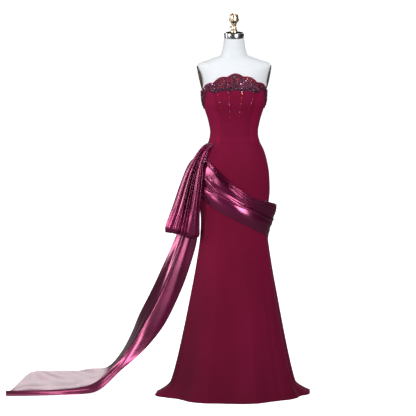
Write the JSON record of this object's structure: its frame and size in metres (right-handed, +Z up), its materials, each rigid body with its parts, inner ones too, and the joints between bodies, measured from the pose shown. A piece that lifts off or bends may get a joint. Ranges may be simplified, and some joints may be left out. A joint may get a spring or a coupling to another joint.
{
  "type": "beaded evening gown on dress form",
  "caption": "strapless floor-length crepe gown with a scalloped beaded neckline and a pleated satin hip sash with bow and trailing end, on a limbless dress form with pole and round base",
  "frame": {"origin": "on the floor, under the middle of the form's round base", "axes": "+Z up, -Y is the gown's front, +X is the side where the sash hangs lowest; the bow and the trailing end of the sash are at -X. Right and left in node names are as seen from the front, so right is +X, the wearer's left"},
  "size_m": [1.4459, 0.8855, 1.8136],
  "materials": {
    "crepe": "matt burgundy crepe",
    "satin": "glossy magenta-burgundy duchess satin",
    "beadwork": "dark seed beads and cut stones on a burgundy ground",
    "red_beads": "glossy red seed beads",
    "zip": "burgundy enamel",
    "form_cover": "cool white cotton jersey",
    "dark_wood": "dark stained and waxed",
    "steel": "satin polished",
    "champagne_brass": "polished champagne plating"
  },
  "bodies": {
    "gown_on_form": {"skirt_front": "crepe", "skirt_back_right": "crepe", "skirt_back_left": "crepe", "bodice_centre_front": "crepe", "bodice_side_front_right": "crepe", "bodice_side_front_left": "crepe", "bodice_side_back_right": "crepe", "bodice_side_back_left": "crepe", "bodice_back_right": "crepe", "bodice_back_left": "crepe", "beaded_band_front": "beadwork", "beaded_band_right": "beadwork", "beaded_band_left": "beadwork", "bead_drop_1": "red_beads", "bead_drop_2": "red_beads", "bead_drop_3": "red_beads", "bead_drop_4": "red_beads", "sash_upper_pleats": "satin", "sash_middle_panel": "satin", "sash_lower_band": "satin", "bow_loop": "satin", "sash_train": "satin", "zip_coil": "zip", "zip_slider": "zip", "form_torso": "form_cover", "form_armhole_plate_right": "dark_wood", "form_armhole_plate_left": "dark_wood", "form_neck_cap": "steel", "form_finial": "champagne_brass", "form_neck_screw": "steel", "stand_pole": "steel", "stand_base": "steel"},
    "zip_pull": {"zip_pull_tab": "zip"}
  },
  "joints": [
    {"name": "pull_tab_swing", "type": "hinge", "parent": "gown_on_form", "child": "zip_pull", "pos_m": [0, 0.10744, 1.394], "axis": [1, 0, 0], "range_deg": [0, 170]}
  ]
}
